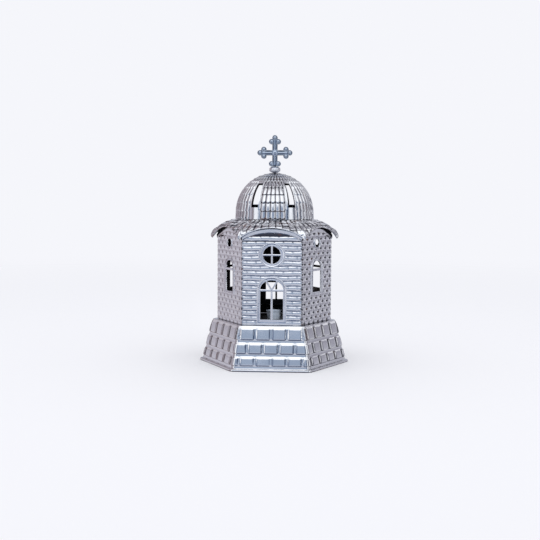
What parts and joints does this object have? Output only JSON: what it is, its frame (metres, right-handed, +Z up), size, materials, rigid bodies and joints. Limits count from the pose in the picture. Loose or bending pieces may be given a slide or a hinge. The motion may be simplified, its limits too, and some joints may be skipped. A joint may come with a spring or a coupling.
{
  "type": "chapel candle lantern",
  "caption": "Six-sided pierced metal lantern shaped like a small domed chapel with a budded cross; the house lifts off a flared base that holds a candle cup.",
  "frame": {"origin": "on the lantern's axis, at the level it stands on", "axes": "+Z up to the cross, -Y out of the door, +X to the right of the door seen from outside"},
  "size_m": [0.1304, 0.1144, 0.1974],
  "materials": {
    "polished_plate": "bright nickel plate over pressed sheet, darkened in the recesses",
    "satin_plate": "unpolished plate on hidden pieces",
    "fastener": "plain zinc-plated steel"
  },
  "bodies": {
    "base": {"base_shell": "polished_plate", "bottom_plate": "satin_plate", "locating_rim": "satin_plate", "candle_cup": "polished_plate", "cup_screw": "fastener", "cup_nut": "fastener"},
    "house": {"wall_front": "polished_plate", "wall_front_right": "polished_plate", "wall_rear_right": "polished_plate", "wall_rear": "polished_plate", "wall_rear_left": "polished_plate", "wall_front_left": "polished_plate", "roof_shell": "polished_plate", "dome_shell": "polished_plate", "dome_collar": "satin_plate", "finial_bead": "polished_plate", "cross": "polished_plate", "finial_washer": "fastener", "finial_nut": "fastener"}
  },
  "joints": [
    {"name": "house_lift", "type": "slide", "parent": "base", "child": "house", "axis": [0, 0, 1], "range_m": [0, 0.12]}
  ]
}
